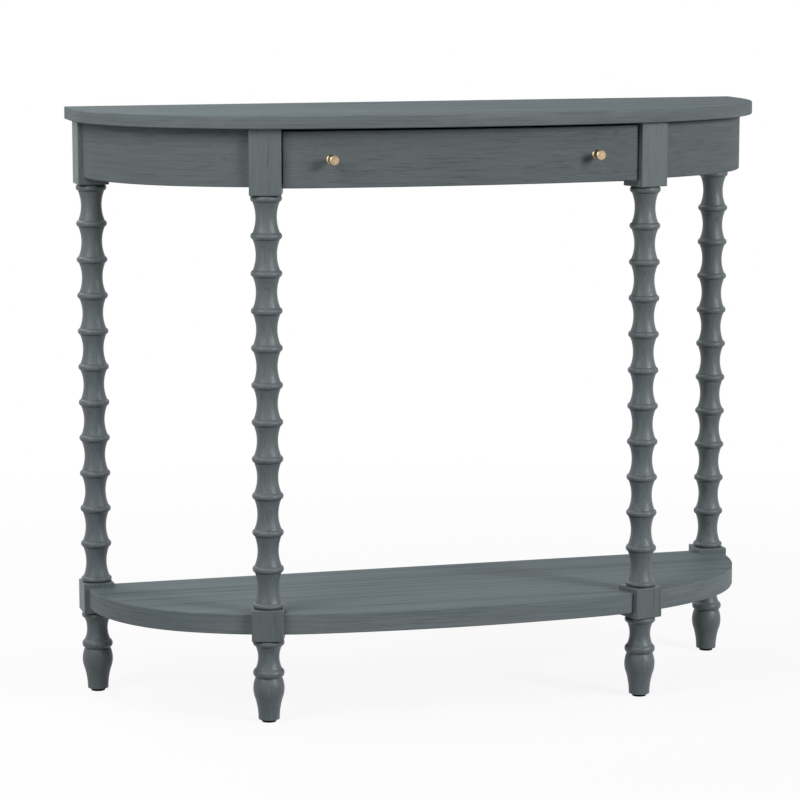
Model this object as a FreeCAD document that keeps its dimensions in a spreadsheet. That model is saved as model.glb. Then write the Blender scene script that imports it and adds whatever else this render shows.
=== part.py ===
import FreeCAD, Part
import math
import os

import Sketcher

# Demilune console table with one drawer and a lower shelf, in millimetres.
# The origin lies on the floor under the middle of the top, +Z is up and the bow faces -Y.

doc = FreeCAD.newDocument("demilune_console")
sheet = doc.addObject("Spreadsheet::Sheet", "Sizes")

SIZES = (
    # Overall heights and the bow that top, aprons, drawer and shelf follow
    ("overall_height", 762.0),
    ("frame_half_width", 439.0),
    ("bow_depth", 255.5),
    ("front_angle", 6.6),
    ("shoulder_angle", 32.8),
    ("shoulder_radius", 371.5),
    ("front_leg_angle", 16.4),
    # Top panel
    ("top_thickness", 16.0),
    ("top_overhang", 16.0),
    ("back_overhang", 2.0),
    ("top_easing", 1.5),
    # Posts and shelf blocks of the legs
    ("post_size", 40.0),
    ("post_proud", 6.5),
    ("post_drop", 10.0),
    ("post_easing", 1.2),
    ("block_height", 40.0),
    ("block_lift", 106.0),
    # Turned shaft: beads with a cove between each two
    ("bead_count", 10),
    ("bead_height", 8.8),
    ("bead_radius", 19.7),
    ("collar_height", 7.0),
    ("neck_radius", 16.8),
    ("quirk_depth", 0.6),
    ("cove_radius", 13.2),
    # Turned foot
    ("foot_collar_height", 8.5),
    ("foot_collar_radius", 19.9),
    ("foot_neck_radius", 16.6),
    ("foot_cove_radius", 13.4),
    ("foot_bead_height", 11.0),
    ("foot_bead_radius", 19.8),
    ("foot_bead_lift", 63.0),
    ("belly_radius", 19.7),
    ("belly_lift", 45.0),
    ("ankle_radius", 17.0),
    ("ankle_lift", 29.5),
    ("taper_radius", 14.6),
    ("taper_lift", 18.5),
    ("tip_radius", 13.4),
    # Foot glides
    ("glide_radius", 9.0),
    ("glide_height", 3.6),
    ("nail_radius", 2.0),
    ("nail_length", 18.0),
    # Aprons and rails
    ("apron_height", 72.0),
    ("apron_thickness", 20.0),
    ("apron_easing", 1.2),
    ("back_rail_thickness", 18.0),
    ("back_rail_inset", 12.0),
    ("front_rail_height", 12.0),
    ("front_rail_depth", 28.0),
    ("front_rail_lift", 2.0),
    # Shelf
    ("shelf_thickness", 26.0),
    ("shelf_drop", 6.0),
    ("shelf_back_reach", 4.0),
    ("shelf_easing", 1.2),
    # Drawer front
    ("drawer_front_end_thickness", 20.0),
    ("drawer_front_easing", 1.2),
    ("drawer_side_gap", 1.0),
    ("drawer_top_gap", 3.3),
    ("drawer_drop", 1.5),
    ("drawer_rail_gap", 0.5),
    # Drawer box
    ("box_board", 12.0),
    ("box_height", 44.0),
    ("box_post_gap", 5.0),
    ("slide_gap", 0.3),
    ("bottom_thickness", 5.0),
    ("groove_depth", 5.0),
    ("groove_lift", 5.0),
    ("groove_gap", 0.15),
    # What the drawer runs on
    ("runner_width", 36.0),
    ("guide_width", 12.0),
    ("guide_height", 14.0),
    ("guide_gap", 0.6),
    ("kicker_width", 26.0),
    ("stop_depth", 10.0),
    ("stop_width", 20.0),
    ("stop_height", 20.0),
    ("stop_place_share", 0.69),
    # What holds the top
    ("cleat_end_gap", 9.0),
    ("cleat_depth", 16.0),
    ("top_block_angle", 62.0),
    ("top_block_spread", 8.0),
    ("top_block_depth", 24.0),
    # Knobs
    ("knob_place_share", 0.79),
    ("knob_length", 20.5),
    ("knob_base_radius", 5.8),
    ("knob_base_height", 2.6),
    ("knob_neck_radius", 2.9),
    ("knob_head_radius", 6.2),
    ("knob_head_height", 6.4),
    ("knob_bevel", 1.0),
    ("knob_seat_gap", 0.2),
    # Screws
    ("screw_radius", 2.0),
    ("screw_head_radius", 4.0),
    ("screw_head_height", 2.4),
    ("shank_gap", 0.1),
    ("top_screw_bite", 10.0),
    ("rail_screw_share", 0.55),
    ("cleat_screw_share", 0.70),
    ("front_screw_bite", 15.0),
    ("front_screw_share", 0.5),
    ("front_screw_rise", 9.0),
    ("knob_screw_bite", 9.0),
    # Dowels
    ("dowel_radius", 4.0),
    ("dowel_length", 36.0),
    ("dowel_rise", 18.0),
    ("rail_dowel_radius", 3.0),
    ("rail_dowel_length", 28.0),
    ("rail_dowel_inset", 8.0),
    ("shelf_dowel_inset", 12.0),
    ("dowel_gap", 0.1),
    ("dowel_end_gap", 0.5),
    # How far cutting tools run past what they cut
    ("overrun", 5.0),
)

for row, (alias, number) in enumerate(SIZES, start=1):
    sheet.set(f"A{row}", alias)
    sheet.set(f"B{row}", str(number))
    sheet.setAlias(f"B{row}", alias)

# Places and lengths worked out from the driving sizes, kept in the same sheet; angles are in degrees
DERIVED = (
    # Heights
    ("top_underside", "=overall_height - top_thickness"),
    ("apron_bottom", "=top_underside - apron_height"),
    ("post_bottom", "=apron_bottom - post_drop"),
    ("block_top", "=block_lift + block_height"),
    ("shelf_top", "=block_top - shelf_drop"),
    ("shelf_bottom", "=shelf_top - shelf_thickness"),
    ("lower_rail_bottom", "=apron_bottom + front_rail_lift"),
    ("lower_rail_top", "=lower_rail_bottom + front_rail_height"),
    ("upper_rail_bottom", "=top_underside - front_rail_height"),
    # Back legs and back rail
    ("half_post", "=post_size / 2"),
    ("back_y", "=(back_overhang + half_post + bow_depth + top_overhang) / 2"),
    ("back_leg_x", "=frame_half_width + post_proud - half_post"),
    ("back_leg_y", "=back_y - back_overhang - half_post"),
    ("back_post_front_y", "=back_leg_y - half_post"),
    ("back_rail_front_y", "=back_leg_y + half_post - back_rail_inset - back_rail_thickness"),
    ("back_rail_half_length", "=back_leg_x - half_post"),
    # The bow: front and side arcs that are tangent to the shoulder arcs and give its width and depth
    ("width_left", "=frame_half_width - shoulder_radius * (sin(shoulder_angle) - sin(front_angle))"),
    ("depth_left", "=bow_depth - half_post - shoulder_radius * (cos(front_angle) - cos(shoulder_angle))"),
    ("front_rise_share", "=1 - cos(front_angle)"),
    ("side_reach_share", "=1 - sin(shoulder_angle)"),
    ("bow_share", "=sin(front_angle) * cos(shoulder_angle) - side_reach_share * front_rise_share"),
    ("front_radius", "=(width_left * cos(shoulder_angle) - side_reach_share * depth_left) / bow_share"),
    ("side_radius", "=(sin(front_angle) * depth_left - front_rise_share * width_left) / bow_share"),
    ("front_centre_y", "=back_leg_y - bow_depth + front_radius"),
    ("shoulder_centre_x", "=(front_radius - shoulder_radius) * sin(front_angle)"),
    ("shoulder_centre_y", "=front_centre_y - (front_radius - shoulder_radius) * cos(front_angle)"),
    ("side_centre_x", "=shoulder_centre_x + (shoulder_radius - side_radius) * sin(shoulder_angle)"),
    ("side_centre_y", "=shoulder_centre_y - (shoulder_radius - side_radius) * cos(shoulder_angle)"),
    # Front legs, which stand on the shoulder arcs
    ("leg_reach", "=shoulder_radius + post_proud - half_post"),
    ("front_leg_x", "=shoulder_centre_x + leg_reach * sin(front_leg_angle)"),
    ("front_leg_y", "=shoulder_centre_y - leg_reach * cos(front_leg_angle)"),
    # Drawer front and the rails behind it
    ("drawer_bottom_z", "=apron_bottom - drawer_drop"),
    ("drawer_front_height", "=top_underside - drawer_top_gap - drawer_bottom_z"),
    ("drawer_end_angle", "=front_leg_angle - asin((half_post + drawer_side_gap) / shoulder_radius) / 1 deg"),
    ("drawer_end_x", "=shoulder_centre_x + shoulder_radius * sin(drawer_end_angle)"),
    ("drawer_end_y", "=shoulder_centre_y - shoulder_radius * cos(drawer_end_angle)"),
    ("drawer_flat_y", "=drawer_end_y + drawer_front_end_thickness"),
    ("rail_front_y", "=drawer_flat_y + drawer_rail_gap"),
    ("rail_back_y", "=rail_front_y + front_rail_depth"),
    # Drawer box
    ("post_half_span", "=half_post * (cos(front_leg_angle) + sin(front_leg_angle))"),
    ("box_half_width", "=front_leg_x - post_half_span - box_post_gap"),
    ("box_inner_x", "=box_half_width - box_board"),
    ("box_inner_y", "=drawer_flat_y + box_board"),
    ("box_back_y", "=back_rail_front_y - stop_depth - slide_gap"),
    ("box_bottom", "=lower_rail_top + slide_gap"),
    ("box_top", "=box_bottom + box_height"),
    ("panel_half_width", "=box_inner_x + groove_depth - groove_gap"),
    ("panel_front_y", "=box_inner_y - groove_depth + groove_gap"),
    ("panel_bottom", "=box_bottom + groove_lift"),
    ("panel_top", "=panel_bottom + bottom_thickness"),
    # What the drawer runs on and what holds the top
    ("guide_inner_x", "=box_half_width + guide_gap"),
    ("guide_outer_x", "=guide_inner_x + guide_width"),
    ("guide_top", "=lower_rail_top + guide_height"),
    ("runner_inner_x", "=guide_outer_x - runner_width"),
    ("kicker_inner_x", "=box_half_width - box_board / 2 - kicker_width / 2"),
    ("kicker_outer_x", "=kicker_inner_x + kicker_width"),
    ("stop_x", "=box_half_width * stop_place_share"),
    ("stop_bottom", "=(box_bottom + box_top - stop_height) / 2"),
    ("cleat_half_length", "=kicker_inner_x - cleat_end_gap"),
    ("cleat_front_y", "=back_rail_front_y - cleat_depth"),
    # Knobs, seated where the front arc stands a little further back
    ("knob_x", "=box_half_width * knob_place_share"),
    ("knob_seat_y", "=front_centre_y - sqrt(front_radius ^ 2 - (knob_x + 2 * knob_base_radius) ^ 2)"),
    ("knob_z", "=drawer_bottom_z + drawer_front_height / 2"),
)

for row, (alias, formula) in enumerate(DERIVED, start=len(SIZES) + 1):
    sheet.set(f"A{row}", alias)
    sheet.set(f"B{row}", formula)
    sheet.setAlias(f"B{row}", alias)
    doc.recompute()

nodes = {}
UP = FreeCAD.Vector(0, 0, 1)
ALONG_X = FreeCAD.Vector(1, 0, 0)
ALONG_Y = FreeCAD.Vector(0, 1, 0)
SIDES = (("left", -1), ("right", 1))
FULL_TURN = 360.0


def size(alias):
    """The value of a cell of the sheet."""
    return float(sheet.get(alias))


def cell(alias):
    """The name of a cell as expressions use it."""
    return f"Sizes.{alias}"


def flat(x, y):
    return FreeCAD.Vector(x, y, 0)


def outward(angle):
    """Direction in plan at an angle from the front, positive to the right."""
    return flat(math.sin(angle), -math.cos(angle))


def mirrored(point, sign):
    return FreeCAD.Vector(sign * point.x, point.y, point.z)


def radians(alias):
    """The value of a cell that holds degrees, as radians."""
    return math.radians(size(alias))


# The bow: a wide front arc, two shoulder arcs and two side arcs, each tangent to the next
FRONT_ANGLE = radians("front_angle")
SHOULDER_ANGLE = radians("shoulder_angle")
SIDE_ANGLE = math.pi / 2
FRONT_RADIUS = size("front_radius")
SHOULDER_RADIUS = size("shoulder_radius")
SIDE_RADIUS = size("side_radius")
FRONT_CENTRE = flat(0, size("front_centre_y"))
SHOULDER_CENTRE = flat(size("shoulder_centre_x"), size("shoulder_centre_y"))
SIDE_CENTRE = flat(size("side_centre_x"), size("side_centre_y"))

# Legs in plan: the front ones are turned to face out from the shoulder arcs
POST_HALF = size("half_post")
LEG_ANGLE = radians("front_leg_angle")
LEG_NORMAL = outward(LEG_ANGLE)
LEG_TANGENT = flat(math.cos(LEG_ANGLE), math.sin(LEG_ANGLE))
FRONT_LEG = flat(size("front_leg_x"), size("front_leg_y"))
BACK_LEG = flat(size("back_leg_x"), size("back_leg_y"))


def post_plane_angle(radius, distance):
    """Where an arc about the shoulder centre meets a plane beside the front post."""
    return LEG_ANGLE + math.asin(distance / radius)


def inner_post_x(y, gap):
    """Place across the table of the plane beside the front post's inner face, at a given depth."""
    distance = POST_HALF + gap
    along = (FRONT_LEG.y - distance * math.sin(LEG_ANGLE) - y) / math.cos(LEG_ANGLE)
    return FRONT_LEG.x - distance * math.cos(LEG_ANGLE) + along * math.sin(LEG_ANGLE)


def record_node(label, piece):
    """Names a finished piece and keeps it for writing."""
    piece.Label = label
    nodes[label] = piece


def bow_arc(centre, radius, start, end):
    """Arc of the bow between two angles measured from the front."""
    quarter = math.pi / 2
    circle = Part.Circle(centre, UP, radius)
    return Part.ArcOfCircle(circle, start - quarter, end - quarter)


def bow_arcs(offset):
    """The five arcs of the bow from left to right, moved outwards by an offset."""
    left_side = mirrored(SIDE_CENTRE, -1)
    left_shoulder = mirrored(SHOULDER_CENTRE, -1)
    shoulder = SHOULDER_RADIUS + offset
    side = SIDE_RADIUS + offset
    return [
        bow_arc(left_side, side, -SIDE_ANGLE, -SHOULDER_ANGLE),
        bow_arc(left_shoulder, shoulder, -SHOULDER_ANGLE, -FRONT_ANGLE),
        bow_arc(FRONT_CENTRE, FRONT_RADIUS + offset, -FRONT_ANGLE, FRONT_ANGLE),
        bow_arc(SHOULDER_CENTRE, shoulder, FRONT_ANGLE, SHOULDER_ANGLE),
        bow_arc(SIDE_CENTRE, side, SHOULDER_ANGLE, SIDE_ANGLE),
    ]


def polyline(points):
    """Straight edges from point to point."""
    return [Part.LineSegment(a, b) for a, b in zip(points, points[1:])]


def bow_outline(offset, back):
    """The bow moved outwards by an offset and closed by straight sides and a straight back."""
    hip = SIDE_CENTRE.x + SIDE_RADIUS + offset
    corners = [flat(hip, SIDE_CENTRE.y), flat(hip, back), flat(-hip, back), flat(-hip, SIDE_CENTRE.y)]
    return bow_arcs(offset) + polyline(corners)


def origin_plane(body, role):
    for feature in body.Origin.OriginFeatures:
        if feature.Role == role:
            return feature
    raise ValueError(role)


def join_ends(sketch, count):
    """Ties together the ends of a sketch's edges that meet."""
    near = FreeCAD.Base.Precision.confusion()
    ends = [(edge, end) for edge in range(count) for end in (1, 2)]
    for number, first in enumerate(ends):
        for second in ends[number + 1:]:
            if sketch.getPoint(*first).isEqual(sketch.getPoint(*second), near):
                sketch.addConstraint(Sketcher.Constraint("Coincident", *first, *second))


def add_sketch(body, name, role, edges, lift=None):
    """A sketch on one of a body's origin planes, with its edges joined end to end."""
    sketch = body.newObject("Sketcher::SketchObject", name)
    sketch.AttachmentSupport = (origin_plane(body, role), [""])
    sketch.MapMode = "FlatFace"
    if lift is not None:
        sketch.setExpression(".AttachmentOffset.Base.z", lift)
    for edge in edges:
        sketch.addGeometry(edge)
    join_ends(sketch, len(edges))
    return sketch


def bind_radius(sketch, edge_index, expression):
    """Ties the radius of an arc of a sketch to the sheet."""
    index = sketch.addConstraint(Sketcher.Constraint("Radius", edge_index, size_of(expression)))
    sketch.setExpression(f"Constraints[{index}]", expression)


def size_of(expression):
    return float(sheet.evalExpression(expression))


def add_pad(body, name, sketch, length):
    pad = body.newObject("PartDesign::Pad", name)
    pad.Profile = sketch
    pad.setExpression("Length", length)
    body.Tip = pad
    doc.recompute()
    return pad


def add_easing(body, name, radius, chosen):
    """Rounds the edges of a body that a test picks."""
    feature = body.Tip
    picked = [f"Edge{i}" for i, edge in enumerate(feature.Shape.Edges, start=1) if chosen(edge)]
    fillet = body.newObject("PartDesign::Fillet", name)
    fillet.Base = (feature, picked)
    fillet.setExpression("Radius", radius)
    body.Tip = fillet
    doc.recompute()
    return fillet


def is_level(edge):
    """Edges of the shelf's two faces, which rise less than half its thickness."""
    return edge.BoundBox.ZLength < size("shelf_thickness") / 2


def add_plate(label, edges, lift, thickness):
    """A flat plate padded up from an outline seen from above."""
    body = doc.addObject("PartDesign::Body", f"{label}_body")
    sketch = add_sketch(body, f"{label}_outline", "XY_Plane", edges, lift)
    add_pad(body, f"{label}_pad", sketch, thickness)
    return body, sketch


def add_box(name, low, high):
    """A box between two corners, whose three places each are expressions."""
    box = doc.addObject("Part::Box", name)
    for side, start, end in zip(("Length", "Width", "Height"), low, high):
        box.setExpression(side, f"({end}) - ({start})")
    for axis, start in zip("xyz", low):
        box.setExpression(f".Placement.Base.{axis}", start)
    return box


def add_cell_box(name, low, high):
    """A box between two corners, whose three places each are cells; a minus sign before a cell mirrors it."""

    def expression(alias):
        return f"-{cell(alias[1:])}" if alias.startswith("-") else cell(alias)

    return add_box(name, [expression(alias) for alias in low], [expression(alias) for alias in high])


def side_span(sign, near, far):
    """The lower and the higher cell of a span across one side of the table."""
    return (near, far) if sign > 0 else (f"-{far}", f"-{near}")


def add_rod(name, centre, direction, radius, length):
    """A round rod about a middle point, lying along a direction."""
    rod = doc.addObject("Part::Cylinder", name)
    rod.setExpression("Radius", radius)
    rod.setExpression("Height", length)
    start = centre - direction * (size_of(length) / 2)
    rod.Placement = FreeCAD.Placement(start, FreeCAD.Rotation(UP, direction))
    return rod


def add_blind_hole(name, mouth, direction, radius, depth):
    """A hole for a shank, open at its mouth and a little wider and deeper than the shank."""
    length = f"{depth} + {cell('dowel_end_gap')} + {cell('overrun')}"
    middle = mouth + direction * ((size_of(depth) + size("dowel_end_gap") - size("overrun")) / 2)
    return add_rod(name, middle, direction, f"{radius} + {cell('shank_gap')}", length)


def group(name, pieces):
    """Separate solids kept together in one object."""
    compound = doc.addObject("Part::Compound", name)
    compound.Links = pieces
    return compound


def cut(name, base, tools):
    """A piece with holes or recesses cut out of it."""
    piece = doc.addObject("Part::Cut", name)
    piece.Base = base
    piece.Tool = group(f"{name}_tools", tools)
    return piece


def join(name, pieces):
    piece = doc.addObject("Part::MultiFuse", name)
    piece.Shapes = pieces
    return piece


# Dowels with the holes that take them; each hole is shared by the two pieces that it joins

def add_dowels(label, places, radius, length):
    """Dowels at given middle points and directions, and the holes around them."""
    pegs = []
    holes = []
    for number, (centre, direction) in enumerate(places, start=1):
        pegs.append(add_rod(f"{label}_peg_{number}", centre, direction, radius, length))
        hole_radius = f"{radius} + {cell('dowel_gap')}"
        hole_length = f"{length} + 2 * {cell('dowel_end_gap')}"
        holes.append(add_rod(f"{label}_hole_{number}", centre, direction, hole_radius, hole_length))
    record_node(label, group(f"{label}_group", pegs))
    return holes


def dowel_heights():
    low = size("apron_bottom") + size("dowel_rise")
    return low, size("top_underside") - size("dowel_rise")


def apron_dowel_places(sign):
    """Two dowels into the back post and two into the front post of one side."""
    middle = SHOULDER_RADIUS - size("apron_thickness") / 2
    front = SHOULDER_CENTRE + outward(post_plane_angle(middle, POST_HALF)) * middle
    back = flat(size("frame_half_width") - size("apron_thickness") / 2, size("back_post_front_y"))
    places = []
    for z in dowel_heights():
        places.append((mirrored(back, sign) + UP * z, ALONG_Y))
    for z in dowel_heights():
        places.append((mirrored(front, sign) + UP * z, mirrored(LEG_TANGENT, sign)))
    return places


def back_rail_dowel_places(sign):
    middle_y = size("back_rail_front_y") + size("back_rail_thickness") / 2
    end = flat(sign * (BACK_LEG.x - POST_HALF), middle_y)
    return [(end + UP * z, ALONG_X) for z in dowel_heights()]


def front_rail_dowel_places(sign):
    y = size("rail_front_y") + size("rail_dowel_inset")
    end = flat(sign * inner_post_x(y, 0), y)
    half_rail = size("front_rail_height") / 2
    heights = (size("lower_rail_bottom") + half_rail, size("upper_rail_bottom") + half_rail)
    return [(end + UP * z, ALONG_X) for z in heights]


def shelf_dowel_places(sign):
    middle = UP * (size("shelf_bottom") + size("shelf_thickness") / 2)
    front = mirrored(FRONT_LEG - LEG_NORMAL * POST_HALF, sign)
    inner_y = size("back_post_front_y") + size("shelf_dowel_inset")
    back = flat(sign * (BACK_LEG.x - POST_HALF), inner_y)
    return [(front + middle, mirrored(LEG_NORMAL, sign)), (back + middle, ALONG_X)]


def make_dowels():
    """All dowel groups; gives the holes for each side as a table by joint."""
    groups = (
        ("apron_dowels", apron_dowel_places, "dowel_radius", "dowel_length"),
        ("back_rail_dowels", back_rail_dowel_places, "dowel_radius", "dowel_length"),
        ("front_rail_dowels", front_rail_dowel_places, "rail_dowel_radius", "rail_dowel_length"),
        ("shelf_dowels", shelf_dowel_places, "dowel_radius", "dowel_length"),
    )
    holes = {}
    for label, places, radius, length in groups:
        left = places(-1)
        made = add_dowels(label, left + places(1), cell(radius), cell(length))
        holes[label] = {"left": made[:len(left)], "right": made[len(left):]}
    return holes


# Legs: square post, turned shaft, square shelf block and turned foot from one length of wood

def turned_profile():
    """Half outline of the turned parts, from the tip of the foot up to the top."""

    def at(radius, z):
        return FreeCAD.Vector(radius, z, 0)

    def ring(inner, outer, low, high):
        return Part.Arc(at(inner, low), at(outer, (low + high) / 2), at(inner, high))

    tip_z = size("glide_height")
    foot_neck = size("foot_neck_radius")
    bead_low = size("foot_bead_lift") - size("foot_bead_height") / 2
    bead_high = size("foot_bead_lift") + size("foot_bead_height") / 2
    collar_low = size("block_lift") - size("foot_collar_height")
    tip = at(size("tip_radius"), tip_z)
    ankle = at(size("ankle_radius"), size("ankle_lift"))
    edges = polyline([at(0, tip_z), tip])
    edges.append(Part.Arc(tip, at(size("taper_radius"), size("taper_lift")), ankle))
    edges.append(Part.Arc(ankle, at(size("belly_radius"), size("belly_lift")), at(foot_neck, bead_low)))
    edges.append(ring(foot_neck, size("foot_bead_radius"), bead_low, bead_high))
    edges.append(ring(foot_neck, size("foot_cove_radius"), bead_high, collar_low))
    edges.append(ring(foot_neck, size("foot_collar_radius"), collar_low, size("block_lift")))
    neck = size("neck_radius")
    root = neck - size("quirk_depth")
    block_low, block_high = size("block_lift"), size("block_top")
    block_places = [at(foot_neck, block_low), at(neck, block_low), at(neck, block_high), at(root, block_high)]
    edges += polyline(block_places)
    gaps = int(size("bead_count")) + 1
    first = block_high + size("collar_height") / 2
    last = size("post_bottom") - size("bead_height") / 2
    pitch = (last - first) / gaps
    heights = [size("collar_height")] + [size("bead_height")] * gaps
    spans = []
    for number, height in enumerate(heights):
        middle = first + number * pitch
        spans.append((middle - height / 2, middle + height / 2))
    for (low, high), (next_low, _) in zip(spans, spans[1:]):
        edges.append(ring(root, size("bead_radius"), low, high))
        edges += polyline([at(root, high), at(neck, high)])
        edges.append(ring(neck, size("cove_radius"), high, next_low))
        edges += polyline([at(neck, next_low), at(root, next_low)])
    edges.append(ring(root, size("bead_radius"), *spans[-1]))
    post_low, top_z = size("post_bottom"), size("top_underside")
    edges += polyline([at(root, post_low), at(neck, post_low), at(neck, top_z), at(0, top_z), at(0, tip_z)])
    return edges


def square_edges():
    half = POST_HALF
    corners = [flat(-half, -half), flat(half, -half), flat(half, half), flat(-half, half)]
    return polyline(corners + corners[:1])


def is_post_edge(edge):
    """Straight edges of the square parts, seen by their place at the post's corners or sides."""
    if not isinstance(edge.Curve, Part.Line):
        return False
    middle = edge.CenterOfMass
    reach = max(abs(middle.x), abs(middle.y))
    return abs(reach - POST_HALF) < size("post_easing") / 2 and middle.z < size("top_underside")


def make_leg(label, place, turn, holes):
    body = doc.addObject("PartDesign::Body", f"{label}_body")
    profile = add_sketch(body, f"{label}_profile", "XZ_Plane", turned_profile())
    turning = body.newObject("PartDesign::Revolution", f"{label}_turning")
    turning.Profile = profile
    turning.ReferenceAxis = (profile, ["V_Axis"])
    turning.Angle = FULL_TURN
    body.Tip = turning
    block = add_sketch(body, f"{label}_block_square", "XY_Plane", square_edges(), cell("block_lift"))
    add_pad(body, f"{label}_block", block, cell("block_height"))
    post = add_sketch(body, f"{label}_post_square", "XY_Plane", square_edges(), cell("post_bottom"))
    add_pad(body, f"{label}_post", post, f"{cell('top_underside')} - {cell('post_bottom')}")
    add_easing(body, f"{label}_easing", cell("post_easing"), is_post_edge)
    body.Placement = FreeCAD.Placement(place, FreeCAD.Rotation(UP, math.degrees(turn)))
    nail_mouth = place + UP * size("glide_height")
    nail_hole = add_blind_hole(f"{label}_nail_hole", nail_mouth, UP, cell("nail_radius"), cell("nail_length"))
    record_node(label, cut(f"{label}_drilled", body, holes + [nail_hole]))


def make_glide(label, place):
    """A round black foot glide with the nail that holds it in the leg."""
    disc = doc.addObject("Part::Cylinder", f"{label}_disc")
    disc.setExpression("Radius", cell("glide_radius"))
    disc.setExpression("Height", cell("glide_height"))
    disc.Placement.Base = place
    nail_middle = place + UP * (size("glide_height") + size("nail_length") / 2)
    nail = add_rod(f"{label}_nail", nail_middle, UP, cell("nail_radius"), cell("nail_length"))
    record_node(label, join(f"{label}_joined", [disc, nail]))


def make_legs(holes):
    for side, sign in SIDES:
        apron, shelf = holes["apron_dowels"][side], holes["shelf_dowels"][side]
        back = apron[:2] + holes["back_rail_dowels"][side] + shelf[1:]
        front = apron[2:] + holes["front_rail_dowels"][side] + shelf[:1]
        make_leg(f"leg_front_{side}", mirrored(FRONT_LEG, sign), sign * LEG_ANGLE, front)
        make_leg(f"leg_back_{side}", mirrored(BACK_LEG, sign), 0, back)
        make_glide(f"foot_glide_front_{side}", mirrored(FRONT_LEG, sign))
        make_glide(f"foot_glide_back_{side}", mirrored(BACK_LEG, sign))


# Curved aprons between the posts

def make_apron(side, sign, holes):
    thickness = size("apron_thickness")
    outer, inner = SHOULDER_RADIUS, SHOULDER_RADIUS - thickness
    side_outer, side_inner = SIDE_RADIUS, SIDE_RADIUS - thickness
    start_outer = post_plane_angle(outer, POST_HALF)
    start_inner = post_plane_angle(inner, POST_HALF)
    shoulder, bow_side = mirrored(SHOULDER_CENTRE, sign), mirrored(SIDE_CENTRE, sign)

    def span(centre, radius, start, end):
        low, high = sorted((sign * start, sign * end))
        return bow_arc(centre, radius, low, high)

    def place(centre, radius, angle):
        return centre + outward(sign * angle) * radius

    front_line = [place(shoulder, outer, start_outer), place(shoulder, inner, start_inner)]
    back_line = [place(bow_side, side_outer, SIDE_ANGLE), place(bow_side, side_inner, SIDE_ANGLE)]
    edges = [
        span(shoulder, outer, start_outer, SHOULDER_ANGLE),
        span(bow_side, side_outer, SHOULDER_ANGLE, SIDE_ANGLE),
        span(bow_side, side_inner, SHOULDER_ANGLE, SIDE_ANGLE),
        span(shoulder, inner, start_inner, SHOULDER_ANGLE),
    ] + polyline(front_line) + polyline(back_line)
    label = f"apron_{side}"
    body, sketch = add_plate(label, edges, cell("apron_bottom"), cell("apron_height"))
    bind_radius(sketch, 0, cell("shoulder_radius"))

    def is_lower_arc(edge):
        is_low = edge.BoundBox.ZMax < size("apron_bottom") + size("apron_easing")
        return is_low and isinstance(edge.Curve, Part.Circle)

    add_easing(body, f"{label}_easing", cell("apron_easing"), is_lower_arc)
    record_node(label, cut(f"{label}_drilled", body, holes["apron_dowels"][side]))


# Rails between the posts

def make_back_rail(holes):
    rail_back = f"{cell('back_rail_front_y')} + {cell('back_rail_thickness')}"
    half_length = cell("back_rail_half_length")
    rail = add_box(
        "back_rail_bar",
        (f"-{half_length}", cell("back_rail_front_y"), cell("apron_bottom")),
        (half_length, rail_back, cell("top_underside")),
    )
    drilled = holes["back_rail_dowels"]
    record_node("back_rail", cut("back_rail_drilled", rail, drilled["left"] + drilled["right"]))


def front_rail_edges():
    """Straight rail whose ends lie on the turned inner faces of the front posts."""
    front_y, back_y = size("rail_front_y"), size("rail_back_y")
    front_x, back_x = inner_post_x(front_y, 0), inner_post_x(back_y, 0)
    corners = [flat(-front_x, front_y), flat(front_x, front_y), flat(back_x, back_y), flat(-back_x, back_y)]
    return polyline(corners + corners[:1])


def make_front_rails(holes, screw_holes):
    drilled = holes["front_rail_dowels"]
    for number, (label, lift) in enumerate((
        ("front_rail_lower", "lower_rail_bottom"),
        ("front_rail_upper", "upper_rail_bottom"),
    )):
        body, _ = add_plate(label, front_rail_edges(), cell(lift), cell("front_rail_height"))
        tools = [drilled[side][number] for side, _ in SIDES]
        if label == "front_rail_upper":
            tools = tools + screw_holes
        record_node(label, cut(f"{label}_drilled", body, tools))


# Screws: a round head under a plain shank

def add_screw(name, seat, direction, length):
    """A screw whose head sits on a seat and whose shank runs along a direction."""
    head_height, head_radius = cell("screw_head_height"), cell("screw_head_radius")
    head_middle = seat - direction * (size("screw_head_height") / 2)
    shank_middle = seat + direction * (size_of(length) / 2)
    head = add_rod(f"{name}_head", head_middle, direction, head_radius, head_height)
    shank = add_rod(f"{name}_shank", shank_middle, direction, cell("screw_radius"), length)
    return join(name, [head, shank])


def add_screw_hole(name, seat, direction, length):
    return add_blind_hole(name, seat, direction, cell("screw_radius"), length)


def add_head_recess(name, seat, direction):
    """A round recess that lets a screw's head in flush; its floor is the head's seat."""
    reach = f"{cell('screw_head_height')} + {cell('overrun')}"
    middle = seat - direction * (size_of(reach) / 2)
    return add_rod(name, middle, direction, f"{cell('screw_head_radius')} + {cell('shank_gap')}", reach)


def block_centre(sign):
    """Middle of the glue block on the inside of an apron."""
    reach = SIDE_RADIUS - size("apron_thickness") - size("top_block_depth") / 2
    return mirrored(SIDE_CENTRE, sign) + outward(sign * radians("top_block_angle")) * reach


def top_screw_places():
    """Where screws go up into the top, by the piece that carries them."""
    rail_y = (size("rail_front_y") + size("rail_back_y")) / 2
    cleat_y = (size("cleat_front_y") + size("back_rail_front_y")) / 2
    rail_x = size("box_half_width") * size("rail_screw_share")
    cleat_x = size("box_half_width") * size("cleat_screw_share")
    places = {"rail": [], "cleat": []}
    for side, sign in SIDES:
        places["rail"].append(flat(sign * rail_x, rail_y))
        places["cleat"].append(flat(sign * cleat_x, cleat_y))
        places[side] = [block_centre(sign)]
    return places


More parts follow.
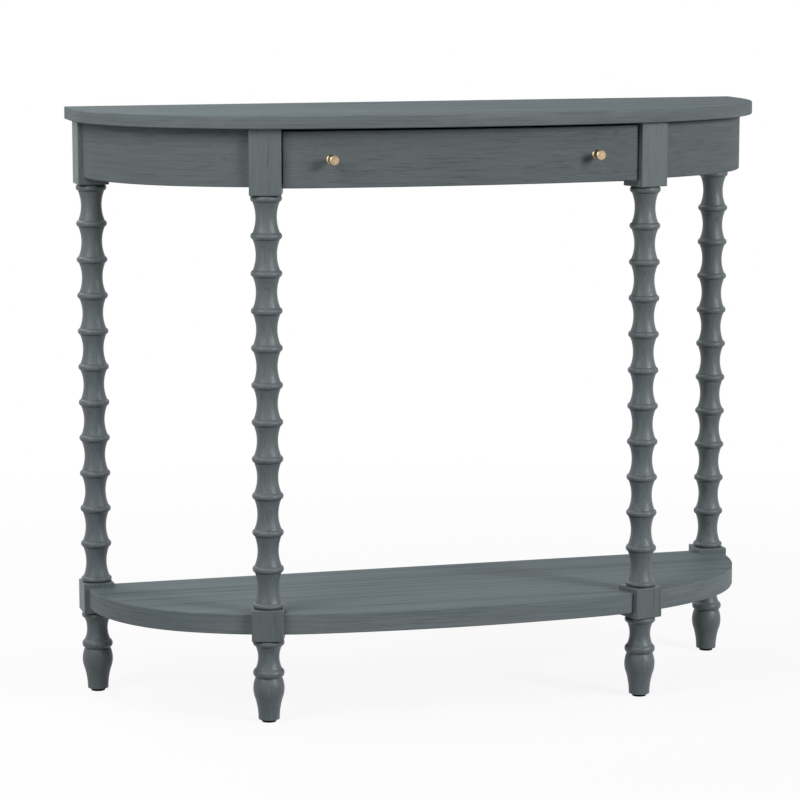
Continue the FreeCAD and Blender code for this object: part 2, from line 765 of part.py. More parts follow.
def make_top_screws():
    """Screws up into the top; gives their shank holes and head recesses by the piece that carries them."""
    length = f"{cell('front_rail_height')} - {cell('screw_head_height')} + {cell('top_screw_bite')}"
    seat_lift = UP * (size("upper_rail_bottom") + size("screw_head_height"))
    screws = []
    shank_holes = {}
    recesses = {}
    for carrier, points in top_screw_places().items():
        shank_holes[carrier] = []
        recesses[carrier] = []
        for number, point in enumerate(points, start=1):
            name = f"top_screw_{carrier}_{number}"
            seat = point + seat_lift
            screws.append(add_screw(name, seat, UP, length))
            shank_holes[carrier].append(add_screw_hole(f"{name}_hole", seat, UP, length))
            recesses[carrier].append(add_head_recess(f"{name}_recess", seat, UP))
    record_node("top_screws", group("top_screws_group", screws))
    return shank_holes, recesses


# Top panel and what holds it

def make_top(shank_holes):
    edges = bow_outline(size("top_overhang"), size("back_y"))
    body, sketch = add_plate("top_panel", edges, cell("top_underside"), cell("top_thickness"))
    bind_radius(sketch, 1, f"{cell('shoulder_radius')} + {cell('top_overhang')}")
    add_easing(body, "top_panel_easing", cell("top_easing"), lambda edge: True)
    tools = [hole for holes in shank_holes.values() for hole in holes]
    record_node("top_panel", cut("top_panel_drilled", body, tools))


def make_top_fixings(screw_holes):
    cleat = add_cell_box(
        "top_cleat_bar",
        ("-cleat_half_length", "cleat_front_y", "upper_rail_bottom"),
        ("cleat_half_length", "back_rail_front_y", "top_underside"),
    )
    record_node("top_cleat_back", cut("top_cleat_drilled", cleat, screw_holes["cleat"]))
    radius = SIDE_RADIUS - size("apron_thickness")
    inner = radius - size("top_block_depth")
    middle, spread = radians("top_block_angle"), radians("top_block_spread")
    for side, sign in SIDES:
        centre = mirrored(SIDE_CENTRE, sign)
        low, high = sorted((sign * (middle - spread), sign * (middle + spread)))
        corners = [
            centre + outward(high) * radius,
            centre + outward(high) * inner,
            centre + outward(low) * inner,
            centre + outward(low) * radius,
        ]
        label = f"top_block_{side}"
        edges = [bow_arc(centre, radius, low, high)] + polyline(corners)
        body, _ = add_plate(label, edges, cell("upper_rail_bottom"), cell("front_rail_height"))
        record_node(label, cut(f"{label}_drilled", body, screw_holes[side]))


# Shelf, notched round the leg blocks

def add_notch(name, place, turn):
    """A square tool as wide as a leg block, which stands out past the shelf's edges."""
    notch = doc.addObject("Part::Box", name)
    notch.setExpression("Length", cell("post_size"))
    notch.setExpression("Width", cell("post_size"))
    notch.setExpression("Height", f"{cell('shelf_thickness')} + 2 * {cell('overrun')}")
    rotation = FreeCAD.Rotation(UP, math.degrees(turn))
    corner = rotation.multVec(flat(-POST_HALF, -POST_HALF))
    base = place + corner + UP * (size("shelf_bottom") - size("overrun"))
    notch.Placement = FreeCAD.Placement(base, rotation)
    return notch


def make_shelf(holes):
    edges = bow_outline(0, size("back_leg_y") + size("shelf_back_reach"))
    body, sketch = add_plate("shelf_panel", edges, cell("shelf_bottom"), cell("shelf_thickness"))
    bind_radius(sketch, 1, cell("shoulder_radius"))
    add_easing(body, "shelf_panel_easing", cell("shelf_easing"), is_level)
    tools = holes["shelf_dowels"]["left"] + holes["shelf_dowels"]["right"]
    for side, sign in SIDES:
        front, back_place = mirrored(FRONT_LEG, sign), mirrored(BACK_LEG, sign)
        tools.append(add_notch(f"shelf_notch_front_{side}", front, sign * LEG_ANGLE))
        tools.append(add_notch(f"shelf_notch_back_{side}", back_place, 0))
    record_node("shelf_panel", cut("shelf_panel_notched", body, tools))


# Drawer

def drawer_front_edges():
    """Bow front with a flat back; its ends lie beside the turned inner faces of the front posts."""
    shoulder_left = mirrored(SHOULDER_CENTRE, -1)
    end_angle = radians("drawer_end_angle")
    end = flat(size("drawer_end_x"), size("drawer_end_y"))
    inner = end - LEG_NORMAL * (size("drawer_front_end_thickness") / math.cos(LEG_ANGLE))
    edges = [
        bow_arc(shoulder_left, SHOULDER_RADIUS, -end_angle, -FRONT_ANGLE),
        bow_arc(FRONT_CENTRE, FRONT_RADIUS, -FRONT_ANGLE, FRONT_ANGLE),
        bow_arc(SHOULDER_CENTRE, SHOULDER_RADIUS, FRONT_ANGLE, end_angle),
    ]
    return edges + polyline([end, inner, mirrored(inner, -1), mirrored(end, -1)])


def knob_seat(sign):
    """Point on the drawer front where a knob's base sits in its shallow round seat."""
    return FreeCAD.Vector(sign * size("knob_x"), size("knob_seat_y"), size("knob_z"))


def knob_edges():
    length, bevel = size("knob_length"), size("knob_bevel")
    base, neck, head = size("knob_base_radius"), size("knob_neck_radius"), size("knob_head_radius")
    base_top = size("knob_base_height")
    head_low = length - size("knob_head_height")
    waist = FreeCAD.Vector(neck, (base_top + head_low) / 2, 0)
    lower = [flat(0, 0), flat(base, 0), flat(base, base_top - bevel), flat(base - bevel, base_top)]
    upper = [flat(head - bevel, head_low), flat(head, head_low + bevel), flat(head, length - bevel)]
    upper += [flat(head - bevel, length), flat(0, length), flat(0, 0)]
    return polyline(lower) + [Part.Arc(lower[-1], waist, upper[0])] + polyline(upper)


def make_knobs(screw_holes):
    for side, sign in SIDES:
        label = f"knob_{side}"
        body = doc.addObject("PartDesign::Body", f"{label}_body")
        profile = add_sketch(body, f"{label}_profile", "XZ_Plane", knob_edges())
        turning = body.newObject("PartDesign::Revolution", f"{label}_turning")
        turning.Profile = profile
        turning.ReferenceAxis = (profile, ["V_Axis"])
        turning.Angle = FULL_TURN
        body.Tip = turning
        body.Placement = FreeCAD.Placement(knob_seat(sign), FreeCAD.Rotation(UP, -ALONG_Y))
        record_node(label, cut(f"{label}_tapped", body, screw_holes[side]))


def make_knob_screws():
    """Screws from inside the box, through both boards, into the knobs."""
    length = f"{cell('box_inner_y')} - {cell('knob_seat_y')} + {cell('knob_screw_bite')}"
    screws = []
    holes = {}
    for side, sign in SIDES:
        inside = FreeCAD.Vector(sign * size("knob_x"), size("box_inner_y"), size("knob_z"))
        screws.append(add_screw(f"knob_screw_{side}", inside, -ALONG_Y, length))
        holes[side] = [add_screw_hole(f"knob_screw_hole_{side}", inside, -ALONG_Y, length)]
    record_node("knob_screws", group("knob_screws_group", screws))
    return holes


def make_front_screws():
    """Screws from inside the box into the bow front."""
    length = f"{cell('box_board')} + {cell('front_screw_bite')}"
    middle_z = (size("panel_top") + size("box_top")) / 2
    screws = []
    holes = []
    for side, sign in SIDES:
        for level, step in (("low", -1), ("high", 1)):
            z = middle_z + step * size("front_screw_rise")
            x = sign * size("box_half_width") * size("front_screw_share")
            seat = FreeCAD.Vector(x, size("box_inner_y"), z)
            name = f"front_screw_{side}_{level}"
            screws.append(add_screw(name, seat, -ALONG_Y, length))
            holes.append(add_screw_hole(f"{name}_hole", seat, -ALONG_Y, length))
    record_node("drawer_front_screws", group("front_screws_group", screws))
    return holes


def make_drawer_front(screw_holes):
    lift, height = cell("drawer_bottom_z"), cell("drawer_front_height")
    body, sketch = add_plate("drawer_front", drawer_front_edges(), lift, height)
    bind_radius(sketch, 0, cell("shoulder_radius"))

    def is_show_edge(edge):
        return edge.BoundBox.YMax < size("drawer_flat_y") - size("drawer_front_easing")

    add_easing(body, "drawer_front_easing", cell("drawer_front_easing"), is_show_edge)
    tools = list(screw_holes)
    for side, sign in SIDES:
        seat = knob_seat(sign)
        radius = f"{cell('knob_base_radius')} + {cell('knob_seat_gap')}"
        reach = seat - ALONG_Y * (size("overrun") / 2)
        tools.append(add_rod(f"knob_seat_{side}", reach, ALONG_Y, radius, cell("overrun")))
    record_node("drawer_front", cut("drawer_front_drilled", body, tools))


def add_groove():
    """Tool for the groove round the drawer bottom, a little wider than the sheet and open at the back."""
    gap = cell("groove_gap")
    half_width, front = f"{cell('panel_half_width')} + {gap}", f"{cell('panel_front_y')} - {gap}"
    low = (f"-({half_width})", front, f"{cell('panel_bottom')} - {gap}")
    high = (half_width, f"{cell('box_back_y')} + {cell('overrun')}", f"{cell('panel_top')} + {gap}")
    return add_box("drawer_groove", low, high)


def make_drawer_box(screw_holes):
    """Inner front, two sides and back, with a sheet in grooves for a bottom."""
    panel = add_cell_box(
        "drawer_bottom_sheet",
        ("-panel_half_width", "panel_front_y", "panel_bottom"),
        ("panel_half_width", "box_back_y", "panel_top"),
    )
    record_node("drawer_bottom", panel)
    groove = add_groove()
    front = add_cell_box(
        "drawer_box_front_board",
        ("-box_half_width", "drawer_flat_y", "box_bottom"),
        ("box_half_width", "box_inner_y", "box_top"),
    )
    record_node("drawer_box_front", cut("drawer_box_front_cut", front, [groove] + screw_holes))
    for side, sign in SIDES:
        low_x, high_x = side_span(sign, "box_inner_x", "box_half_width")
        low, high = (low_x, "box_inner_y", "box_bottom"), (high_x, "box_back_y", "box_top")
        board = add_cell_box(f"drawer_side_{side}_board", low, high)
        record_node(f"drawer_side_{side}", cut(f"drawer_side_{side}_cut", board, [groove]))
    back = add_box(
        "drawer_back_board",
        (f"-{cell('box_inner_x')}", f"{cell('box_back_y')} - {cell('box_board')}", cell("panel_top")),
        (cell("box_inner_x"), cell("box_back_y"), cell("box_top")),
    )
    record_node("drawer_back", back)


# What the drawer runs on

def make_drawer_ways():
    """Runners under the drawer, guides beside it and kickers over it, each from front rail to back rail."""
    spans = (
        ("drawer_runner", "runner_inner_x", "guide_outer_x", "lower_rail_bottom", "lower_rail_top"),
        ("drawer_guide", "guide_inner_x", "guide_outer_x", "lower_rail_top", "guide_top"),
        ("drawer_kicker", "kicker_inner_x", "kicker_outer_x", "upper_rail_bottom", "top_underside"),
    )
    for part, near, far, bottom, top in spans:
        for side, sign in SIDES:
            low_x, high_x = side_span(sign, near, far)
            label = f"{part}_{side}"
            low, high = (low_x, "rail_back_y", bottom), (high_x, "back_rail_front_y", top)
            record_node(label, add_cell_box(f"{label}_bar", low, high))


def make_drawer_stops():
    """Blocks on the back rail that the drawer's back meets when it is shut."""
    middle, half = cell("stop_x"), f"{cell('stop_width')} / 2"
    front = f"{cell('back_rail_front_y')} - {cell('stop_depth')}"
    top = f"{cell('stop_bottom')} + {cell('stop_height')}"
    for side, sign in SIDES:
        centre = middle if sign > 0 else f"-{middle}"
        low = (f"{centre} - {half}", front, cell("stop_bottom"))
        high = (f"{centre} + {half}", cell("back_rail_front_y"), top)
        record_node(f"drawer_stop_{side}", add_box(f"drawer_stop_{side}_block", low, high))


def check_document():
    """Stops if any object failed or a piece has no sound shape."""
    doc.recompute()
    for item in doc.Objects:
        if "Invalid" in item.State or "Error" in item.State:
            raise RuntimeError(f"{item.Name} failed: {item.State}")
    for label, piece in nodes.items():
        if piece.Shape.isNull() or not piece.Shape.isValid():
            raise RuntimeError(f"{label} has no sound shape")


def write_parts():
    os.makedirs("parts", exist_ok=True)
    for label, piece in nodes.items():
        piece.Shape.exportStep(f"parts/{label}.step")
    print(f"{len(nodes)} pieces, bow radii {FRONT_RADIUS:.1f}, {SHOULDER_RADIUS:.1f}, {SIDE_RADIUS:.1f}")


dowel_holes = make_dowels()
top_shank_holes, head_recesses = make_top_screws()
carrier_holes = {carrier: holes + head_recesses[carrier] for carrier, holes in top_shank_holes.items()}
make_top(top_shank_holes)
make_top_fixings(carrier_holes)
make_legs(dowel_holes)
for side_name, side_sign in SIDES:
    make_apron(side_name, side_sign, dowel_holes)
make_back_rail(dowel_holes)
make_front_rails(dowel_holes, carrier_holes["rail"])
make_shelf(dowel_holes)
knob_holes = make_knob_screws()
front_holes = make_front_screws()
all_front_holes = front_holes + knob_holes["left"] + knob_holes["right"]
make_drawer_front(all_front_holes)
make_drawer_box(all_front_holes)
make_knobs(knob_holes)
make_drawer_ways()
make_drawer_stops()
check_document()
write_parts()
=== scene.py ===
import math

import bpy
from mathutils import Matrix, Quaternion, Vector


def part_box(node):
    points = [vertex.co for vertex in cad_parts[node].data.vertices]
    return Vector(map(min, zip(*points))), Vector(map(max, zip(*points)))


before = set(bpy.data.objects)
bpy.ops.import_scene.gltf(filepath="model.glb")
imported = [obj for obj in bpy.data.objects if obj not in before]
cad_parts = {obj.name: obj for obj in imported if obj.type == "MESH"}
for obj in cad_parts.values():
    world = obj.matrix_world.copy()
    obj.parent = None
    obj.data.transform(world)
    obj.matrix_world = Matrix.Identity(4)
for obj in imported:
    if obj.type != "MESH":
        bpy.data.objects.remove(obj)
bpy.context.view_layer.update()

# Camera at the photograph's view, in metres, degrees and, for its lens, millimetres
CAMERA_AZIMUTH = -15.736
CAMERA_ELEVATION = 8.693
CAMERA_ROLL = 0.028
CAMERA_DISTANCE = 4.1261
CAMERA_TARGET = Vector((-0.01458, 0.12475, 0.36728))
CAMERA_LENS = 139.69
CAMERA_REACH = 100.0

# Lamps: where each stands, the point that it faces, its width and height, and its power in watts
MIDDLE = (0.0, 0.0, 0.45)
LAMPS = {
    "key_lamp": ((2.7, -2.95, 1.9), MIDDLE, (1.2, 1.4), 128.0),
    "strip_lamp": ((-1.25, -0.5, 0.95), (-0.3, 0.0, 0.5), (0.4, 1.4), 5.0),
    "sky_lamp": ((-1.35, -0.8, 1.75), (-0.2, 0.0, 0.45), (1.0, 1.0), 16.0),
    "back_lamp": ((-1.1, 1.5, 2.2), MIDDLE, (1.6, 1.2), 23.0),
}

# Light from all round, and a floor whose shadow shows near the part and fades further out
WORLD_LIGHT = 0.08
WHITE = (1.0, 1.0, 1.0, 1.0)
FLOOR_HALF = 30.0
FLOOR_COLOUR = (0.90, 0.90, 0.90, 1.0)
FLOOR_BOUNCE = (0.25, 0.25, 0.25, 1.0)
FLOOR_SHADOW_SHARE = 0.10
SHADOW_NEAR = 0.5
SHADOW_FAR = 1.8

# Colours of the woods, as linear values: early wood, late wood and pores
SLATE = ((0.136, 0.159, 0.166, 1.0), (0.081, 0.096, 0.102, 1.0), (0.038, 0.048, 0.052, 1.0))
PANEL = ((0.146, 0.183, 0.194, 1.0), (0.070, 0.089, 0.096, 1.0), (0.040, 0.050, 0.054, 1.0))
LEG = ((0.126, 0.149, 0.155, 1.0), (0.074, 0.088, 0.093, 1.0), (0.032, 0.040, 0.043, 1.0))
RAW = ((0.52, 0.37, 0.22, 1.0), (0.38, 0.25, 0.14, 1.0), (0.24, 0.15, 0.08, 1.0))
DOWEL = ((0.62, 0.47, 0.30, 1.0), (0.50, 0.36, 0.21, 1.0), (0.38, 0.25, 0.14, 1.0))

# Colours of the panels' edges: early wood and late wood, and early wood in painted highlight patches along an
# edge
TOP_EDGE = ((0.157, 0.182, 0.188, 1.0), (0.080, 0.093, 0.099, 1.0))
SHELF_EDGE = ((0.172, 0.209, 0.221, 1.0), (0.085, 0.105, 0.113, 1.0))
EDGE_PAINTED_HIGHLIGHT = (0.215, 0.230, 0.231, 1.0)

# Colours of the metals and the plastic: lighter and darker patches
BRASS = ((0.50, 0.39, 0.255, 1.0), (0.32, 0.24, 0.15, 1.0))
STEEL = ((0.62, 0.62, 0.60, 1.0), (0.42, 0.42, 0.42, 1.0))
GLIDE = ((0.022, 0.022, 0.024, 1.0), (0.010, 0.010, 0.011, 1.0))

# Finishes of wood: roughness at its lowest and highest, and how strongly the surface mirrors
SATIN = (0.38, 0.50, 0.38)
SHEEN = (0.54, 0.70, 0.15)
MATT = (0.60, 0.80, 0.13)
BARE = (0.60, 0.80, 0.22)

# Grain: how strongly rings, bands, streaks and pores show, and how often the grain changes along and across
FIGURED = (0.34, 0.16, 0.45, 0.60, 0.45, 1.2)
PLAIN = (0.10, 0.0, 0.50, 0.45, 2.0, 2.2)

# Grain layers: changes in a metre along the board, across its face and through it, then detail and roughness
FIGURE_LAYER = ((0.6, 11.0, 55.0), 3.0, 0.45)
STREAK_LAYER = ((5.0, 110.0, 460.0), 4.0, 0.6)
PORE_LAYER = ((14.0, 200.0, 800.0), 2.0, 0.5)
RING_COUNT = 8.0

# Spans over which a noise goes from nought to full effect
LATE_WOOD_SPAN = (0.6, 1.0)
BAND_SPAN = (0.35, 0.65)
STREAK_SPAN = (0.25, 0.75)
PORE_SPAN = (0.56, 0.64)
PORE_IN_RING_SPAN = (-0.5, 1.0)
# Span of the painted highlight patches along the panels' edges
HIGHLIGHT_PATCH_SPAN = (0.44, 0.62)
PATCH_SPAN = (0.3, 0.7)
SCUFF_SPAN = (0.35, 0.7)

# Relief of the surfaces: depth in metres, and how much of it shows
PORE_BUMP = 0.0003
BRUSH_BUMP = 0.00005
GRIT_BUMP = 0.0001
WOOD_BUMP_SHARE = 0.5
FINE_BUMP_SHARE = 0.3
STREAK_RELIEF_SHARE = 0.5

# A face counts as upright when its normal rises less than this, and its grain changes this much sooner
UPRIGHT_LIMIT = 0.7
EDGE_RUN = 3.0

# Painted highlight patches along a panel's edge: how often they come in a metre and how strongly they show
HIGHLIGHT_PATCH_SCALE = (7.0, 7.0, 30.0)
HIGHLIGHT_PATCH_DETAIL = 3.0
HIGHLIGHT_PATCH_SHARE = 0.8

# Metal: how often patches and brush marks come in a metre, and roughness at its lowest and highest
PATCH_SCALE = 180.0
METAL_DETAIL = 3.0
BRASS_BRUSH = (900.0, 90.0, 900.0)
STEEL_BRUSH = (900.0, 900.0, 900.0)
BRASS_GLOSS = (0.28, 0.42)
STEEL_GLOSS = (0.35, 0.5)

# Plastic of the glides: how often grit and scuffs come in a metre, their detail, and the finish
GRIT_SCALE = 900.0
GRIT_DETAIL = 3.0
SCUFF_SCALE = 120.0
SCUFF_DETAIL = 2.0
GLIDE_GLOSS = (0.5, 0.75)
GLIDE_SPECULAR = 0.06

# Radius of the aprons' bend at the ends of the table
APRON_BEND = 0.1997

SIDES = ("left", "right")
ENDS = ("front", "back")


class Nodes:
    """A material's node tree with short ways to add and join nodes."""

    def __init__(self, name):
        self.material = bpy.data.materials.new(name)
        self.material.use_nodes = True
        self.tree = self.material.node_tree
        self.shader = self.tree.nodes["Principled BSDF"]

    def add(self, kind, inputs=None, **settings):
        node = self.tree.nodes.new(kind)
        for key, value in settings.items():
            setattr(node, key, value)
        for key, value in (inputs or {}).items():
            self.feed(value, node.inputs[key])
        return node

    def feed(self, value, socket):
        """Joins an output to a socket, or sets the socket's own value."""
        if isinstance(value, bpy.types.NodeSocket):
            self.tree.links.new(value, socket)
        else:
            socket.default_value = value

    def place(self):
        """Position on the part in metres, the same for every piece."""
        return self.add("ShaderNodeTexCoord").outputs["Object"]

    def stretch(self, vector, scale):
        return self.add("ShaderNodeMapping", {"Vector": vector, "Scale": scale}).outputs["Vector"]

    def noise(self, vector, scale, detail, roughness=0.55):
        inputs = {"Vector": vector, "Scale": scale, "Detail": detail, "Roughness": roughness}
        return self.add("ShaderNodeTexNoise", inputs).outputs["Fac"]

    def ramp(self, factor, span):
        """Spreads the values inside a span over the range from nought to one."""
        low, high = span
        inputs = {"Value": factor, "From Min": low, "From Max": high}
        return self.add("ShaderNodeMapRange", inputs, clamp=True).outputs["Result"]

    def math(self, operation, first, second=0.0):
        return self.add("ShaderNodeMath", {0: first, 1: second}, operation=operation).outputs["Value"]

    def weighted(self, pairs):
        """Sum of values, each times its share."""
        total = 0.0
        for value, share in pairs:
            total = self.math("ADD", total, self.math("MULTIPLY", value, share))
        return total

    def between(self, factor, low, high):
        """Goes from low to high as the factor goes from nought to one."""
        return self.math("ADD", self.math("MULTIPLY", factor, high - low), low)

    def blend(self, factor, first, second, kind="RGBA"):
        """Goes from the first colour or vector to the second as the factor goes from nought to one."""
        inputs = {"Factor": factor, "A": first, "B": second}
        return self.add("ShaderNodeMix", inputs, data_type=kind).outputs["Result"]

    def upright_mask(self):
        """One on upright faces and nought on level ones."""
        normal = self.add("ShaderNodeNewGeometry").outputs["True Normal"]
        rise = self.add("ShaderNodeSeparateXYZ", {"Vector": normal}).outputs["Z"]
        return self.math("LESS_THAN", self.math("ABSOLUTE", rise), UPRIGHT_LIMIT)

    def bump(self, height, distance, strength):
        inputs = {"Height": height, "Distance": distance, "Strength": strength}
        return self.add("ShaderNodeBump", inputs).outputs["Normal"]

    def coat(self, colour, gloss, normal):
        """Joins colour, roughness and relief to the shader."""
        for socket, value in (("Base Color", colour), ("Roughness", gloss), ("Normal", normal)):
            self.feed(value, self.shader.inputs[socket])


def along(lie, scale):
    """Scale of a stretched noise for a board whose length, width and thickness lie along three named axes."""
    return tuple(scale[lie.index(axis)] for axis in "XYZ")


def bent_place(nodes, centre):
    """Position unrolled about an upright axis, so that grain follows a bent board along X."""
    split = nodes.add("ShaderNodeSeparateXYZ", {"Vector": nodes.place()})
    across_x = nodes.math("SUBTRACT", split.outputs["X"], centre.x)
    across_y = nodes.math("SUBTRACT", split.outputs["Y"], centre.y)
    turn = nodes.math("ARCTAN2", across_x, nodes.math("MULTIPLY", across_y, -1.0))
    square_x = nodes.math("MULTIPLY", across_x, across_x)
    square_y = nodes.math("MULTIPLY", across_y, across_y)
    radius = nodes.math("SQRT", nodes.math("ADD", square_x, square_y))
    run = nodes.math("MULTIPLY", turn, radius)
    joined = nodes.add("ShaderNodeCombineXYZ", {"X": run, "Y": radius, "Z": split.outputs["Z"]})
    return joined.outputs["Vector"]


def grain_noise(nodes, place, lie, scale, mask, detail, roughness):
    """Noise stretched along a board; where a mask is one it runs along the board's edge instead."""
    vector = nodes.stretch(place, along(lie, scale))
    if mask is not None:
        lengthwise, _, through = scale
        edge_run = lengthwise * EDGE_RUN
        edge_vector = nodes.stretch(place, (edge_run, edge_run, through))
        vector = nodes.blend(mask, vector, edge_vector, kind="VECTOR")
    return nodes.noise(vector, 1.0, detail, roughness)


def edged(nodes, place, mask, light, dark, edge):
    """Early and late wood of a panel, with the edge's own colours and painted highlight patches on upright
    faces.
    """
    edge_light, edge_dark = edge
    # The lighter patches on the edges are painted highlights
    patches = nodes.ramp(nodes.noise(nodes.stretch(place, HIGHLIGHT_PATCH_SCALE), 1.0, HIGHLIGHT_PATCH_DETAIL), HIGHLIGHT_PATCH_SPAN)
    highlighted_edge = nodes.blend(nodes.math("MULTIPLY", patches, HIGHLIGHT_PATCH_SHARE), edge_light, EDGE_PAINTED_HIGHLIGHT)
    return nodes.blend(mask, light, highlighted_edge), nodes.blend(mask, dark, edge_dark)


def wood(name, lie, colours, finish, grain, centre=None, edge=None):
    """Open-grained wood: rings, bands, streaks and short dark pores; a panel's edge has its own colours."""
    nodes = Nodes(name)
    light, dark, pore = colours
    ring_share, band_share, streak_share, pore_share, run, crossing = grain
    place = nodes.place() if centre is None else bent_place(nodes, centre)
    mask = None
    if edge is not None:
        mask = nodes.upright_mask()
        light, dark = edged(nodes, place, mask, light, dark, edge)

    def layer(scale, detail, roughness):
        lengthwise, across, through = scale
        fitted = (lengthwise * run, across * crossing, through)
        return grain_noise(nodes, place, lie, fitted, mask, detail, roughness)

    figure = layer(*FIGURE_LAYER)
    streak = layer(*STREAK_LAYER)
    pores = nodes.ramp(layer(*PORE_LAYER), PORE_SPAN)
    ring = nodes.math("FRACT", nodes.math("MULTIPLY", figure, RING_COUNT))
    late_wood = nodes.ramp(ring, LATE_WOOD_SPAN)
    if edge is not None:
        late_wood = nodes.math("MULTIPLY", late_wood, nodes.math("SUBTRACT", 1.0, mask))
    bands = nodes.ramp(figure, BAND_SPAN)
    streaks = nodes.ramp(streak, STREAK_SPAN)
    shade = nodes.weighted(((late_wood, ring_share), (bands, band_share), (streaks, streak_share)))
    pore_shade = nodes.math("MULTIPLY", pores, nodes.ramp(late_wood, PORE_IN_RING_SPAN))
    tone = nodes.blend(shade, light, dark)
    colour = nodes.blend(nodes.math("MULTIPLY", pore_shade, pore_share), tone, pore)
    relief = nodes.math("SUBTRACT", nodes.math("MULTIPLY", streak, STREAK_RELIEF_SHARE), pores)
    smooth, rough, specular = finish
    nodes.coat(colour, nodes.between(streak, smooth, rough), nodes.bump(relief, PORE_BUMP, WOOD_BUMP_SHARE))
    nodes.shader.inputs["Specular IOR Level"].default_value = specular
    return nodes.material


def metal(name, colours, gloss, brush):
    """Metal with fine brush marks and faint darker patches."""
    nodes = Nodes(name)
    light, dark = colours
    place = nodes.place()
    patch = nodes.ramp(nodes.noise(place, PATCH_SCALE, METAL_DETAIL), PATCH_SPAN)
    marks = nodes.noise(nodes.stretch(place, brush), 1.0, METAL_DETAIL)
    colour = nodes.blend(patch, dark, light)
    nodes.coat(colour, nodes.between(marks, *gloss), nodes.bump(marks, BRUSH_BUMP, FINE_BUMP_SHARE))
    nodes.shader.inputs["Metallic"].default_value = 1.0
    return nodes.material


def glide_plastic():
    """Matt black moulded plastic with a fine grit and paler scuffs."""
    nodes = Nodes("glide_plastic")
    light, dark = GLIDE
    place = nodes.place()
    grit = nodes.noise(place, GRIT_SCALE, GRIT_DETAIL)
    scuff = nodes.ramp(nodes.noise(place, SCUFF_SCALE, SCUFF_DETAIL), SCUFF_SPAN)
    colour = nodes.blend(scuff, dark, light)
    nodes.coat(colour, nodes.between(grit, *GLIDE_GLOSS), nodes.bump(grit, GRIT_BUMP, FINE_BUMP_SHARE))
    nodes.shader.inputs["Specular IOR Level"].default_value = GLIDE_SPECULAR
    return nodes.material


def dress(material, *names):
    """Gives CAD nodes their material."""
    for name in names:
        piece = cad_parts[name]
        piece.data.materials.clear()
        piece.data.materials.append(material)


def side_centre(sign):
    """Upright axis that an apron bends about: inside its outer face by the bend's radius."""
    low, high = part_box("apron_right" if sign > 0 else "apron_left")
    outer = high.x if sign > 0 else low.x
    return Vector((outer - sign * APRON_BEND, high.y, 0.0))


def dress_outside():
    """Stained wood: the two panels, the drawer front and back rail, the legs and the bent aprons."""
    dress(wood("slate_top", "XYZ", PANEL, MATT, FIGURED, edge=TOP_EDGE), "top_panel")
    dress(wood("slate_shelf", "XYZ", PANEL, SHEEN, FIGURED, edge=SHELF_EDGE), "shelf_panel")
    dress(wood("slate_standing", "XYZ", SLATE, MATT, PLAIN), "drawer_front", "back_rail")
    legs = [f"leg_{end}_{side}" for end in ENDS for side in SIDES]
    dress(wood("slate_upright", "ZXY", LEG, SATIN, PLAIN), *legs)
    for side, sign in zip(SIDES, (-1, 1)):
        bent = wood(f"slate_apron_{side}", "XYZ", SLATE, MATT, PLAIN, side_centre(sign))
        dress(bent, f"apron_{side}")


def dress_inside():
    """Raw wood: boards across the table, boards from front to back, the drawer's sheet and the dowels."""
    across = ("front_rail_lower", "front_rail_upper", "top_cleat_back", "drawer_box_front", "drawer_back")
    dress(wood("raw_across", "XZY", RAW, BARE, FIGURED), *across)
    kinds = ("drawer_runner", "drawer_guide", "drawer_kicker", "drawer_stop", "drawer_side", "top_block")
    deep = [f"{kind}_{side}" for kind in kinds for side in SIDES]
    dress(wood("raw_deep", "YZX", RAW, BARE, FIGURED), *deep)
    dress(wood("raw_sheet", "XYZ", RAW, BARE, FIGURED), "drawer_bottom")
    dowels = ("apron_dowels", "back_rail_dowels", "front_rail_dowels", "shelf_dowels")
    dress(wood("dowel_across", "XYZ", DOWEL, BARE, PLAIN), *dowels)


def dress_fittings():
    """Knobs, screws and foot glides."""
    dress(metal("knob_brass", BRASS, BRASS_GLOSS, BRASS_BRUSH), "knob_left", "knob_right")
    steel = metal("screw_steel", STEEL, STEEL_GLOSS, STEEL_BRUSH)
    dress(steel, "knob_screws", "drawer_front_screws", "top_screws")
    glides = [f"foot_glide_{end}_{side}" for end in ENDS for side in SIDES]
    dress(glide_plastic(), *glides)


def add_camera():
    azimuth = math.radians(CAMERA_AZIMUTH)
    elevation = math.radians(CAMERA_ELEVATION)
    level = math.cos(elevation)
    ray = Vector((math.sin(azimuth) * level, -math.cos(azimuth) * level, math.sin(elevation)))
    data = bpy.data.cameras.new("camera")
    data.lens = CAMERA_LENS
    data.clip_end = CAMERA_REACH
    camera = bpy.data.objects.new("camera", data)
    camera.location = CAMERA_TARGET + ray * CAMERA_DISTANCE
    roll = Quaternion((0.0, 0.0, 1.0), math.radians(CAMERA_ROLL))
    camera.rotation_euler = ((-ray).to_track_quat("-Z", "Y") @ roll).to_euler()
    bpy.context.scene.collection.objects.link(camera)
    bpy.context.scene.camera = camera


def add_area(name, place, target, spread, power):
    """A soft lamp that faces a point, as wide and as tall as its spread says."""
    data = bpy.data.lights.new(name, "AREA")
    data.shape = "RECTANGLE"
    data.size, data.size_y = spread
    data.energy = power
    lamp = bpy.data.objects.new(name, data)
    lamp.location = place
    lamp.rotation_euler = (Vector(target) - Vector(place)).to_track_quat("-Z", "Y").to_euler()
    lamp.visible_camera = False
    bpy.context.scene.collection.objects.link(lamp)


def add_lights():
    """A key from the front right, two soft lamps by the left end and one high behind on the left."""
    for name, settings in LAMPS.items():
        add_area(name, *settings)


def camera_sees(tree):
    """One where the eye, a reflection or a see-through ray looks, nought for light itself."""
    path = tree.nodes.new("ShaderNodeLightPath")
    seen = path.outputs["Is Camera Ray"]
    for ray in ("Is Glossy Ray", "Is Transmission Ray"):
        total = tree.nodes.new("ShaderNodeMath")
        total.operation = "ADD"
        total.use_clamp = True
        tree.links.new(seen, total.inputs[0])
        tree.links.new(path.outputs[ray], total.inputs[1])
        seen = total.outputs["Value"]
    return seen


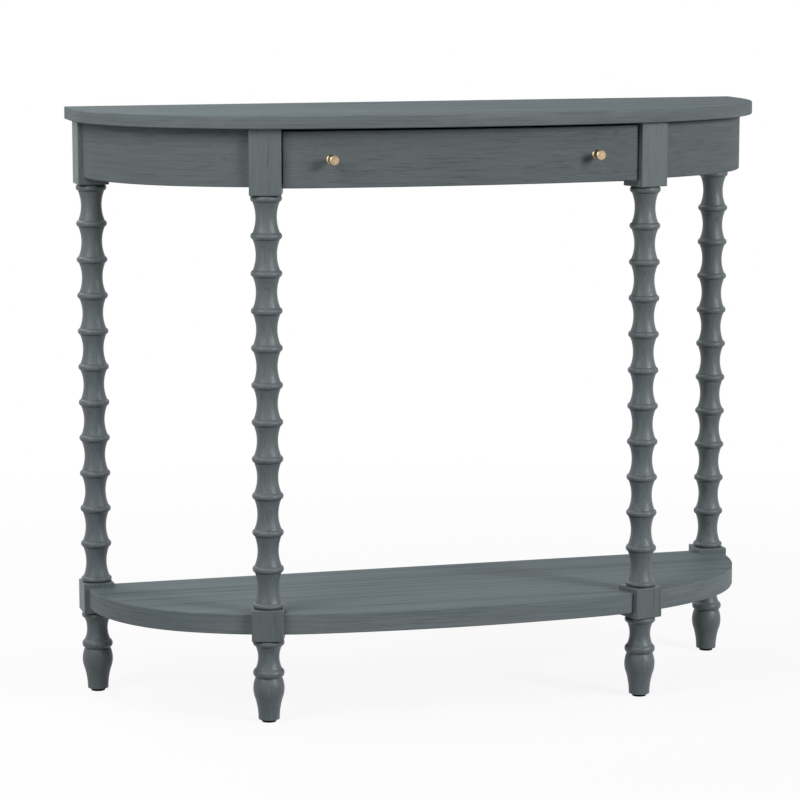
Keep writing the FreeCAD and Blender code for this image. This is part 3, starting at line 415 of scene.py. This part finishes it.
def add_world():
    """White to the eye, and an even soft light on the part."""
    world = bpy.data.worlds.new("studio")
    world.use_nodes = True
    tree = world.node_tree
    background = tree.nodes["Background"]
    background.inputs["Color"].default_value = WHITE
    strength = tree.nodes.new("ShaderNodeMapRange")
    strength.inputs["To Min"].default_value = WORLD_LIGHT
    strength.inputs["To Max"].default_value = 1.0
    tree.links.new(camera_sees(tree), strength.inputs["Value"])
    tree.links.new(strength.outputs["Result"], background.inputs["Strength"])
    bpy.context.scene.world = world


def floor_material():
    """Pale, with a white glow to the eye that leaves a little of the shadow near the part."""
    nodes = Nodes("floor_pale")
    is_bounce = nodes.add("ShaderNodeLightPath").outputs["Is Diffuse Ray"]
    nodes.feed(nodes.blend(is_bounce, FLOOR_COLOUR, FLOOR_BOUNCE), nodes.shader.inputs["Base Color"])
    nodes.shader.inputs["Roughness"].default_value = 1.0
    nodes.shader.inputs["Specular IOR Level"].default_value = 0.0
    glow = nodes.add("ShaderNodeEmission", {"Color": WHITE, "Strength": 1.0})
    distance = nodes.add("ShaderNodeVectorMath", {0: nodes.place()}, operation="LENGTH").outputs["Value"]
    spread = {"Value": distance, "From Min": SHADOW_NEAR, "From Max": SHADOW_FAR}
    spread.update({"To Min": 1.0 - FLOOR_SHADOW_SHARE, "To Max": 1.0})
    plain = nodes.add("ShaderNodeMapRange", spread, clamp=True).outputs["Result"]
    share = nodes.math("MULTIPLY", camera_sees(nodes.tree), plain)
    mixed = nodes.add("ShaderNodeMixShader", {"Fac": share})
    nodes.tree.links.new(nodes.shader.outputs["BSDF"], mixed.inputs[1])
    nodes.tree.links.new(glow.outputs["Emission"], mixed.inputs[2])
    nodes.tree.links.new(mixed.outputs["Shader"], nodes.tree.nodes["Material Output"].inputs["Surface"])
    return nodes.material


def add_floor():
    """A pale floor that looks white to the eye and still takes the part's shadow."""
    mesh = bpy.data.meshes.new("floor")
    reach = FLOOR_HALF
    corners = [(-reach, -reach, 0), (reach, -reach, 0), (reach, reach, 0), (-reach, reach, 0)]
    mesh.from_pydata(corners, [], [(0, 1, 2, 3)])
    floor = bpy.data.objects.new("floor", mesh)
    bpy.context.scene.collection.objects.link(floor)
    floor.data.materials.append(floor_material())


dress_outside()
dress_inside()
dress_fittings()
add_camera()
add_lights()
add_world()
add_floor()
bpy.context.scene.view_settings.view_transform = "Standard"
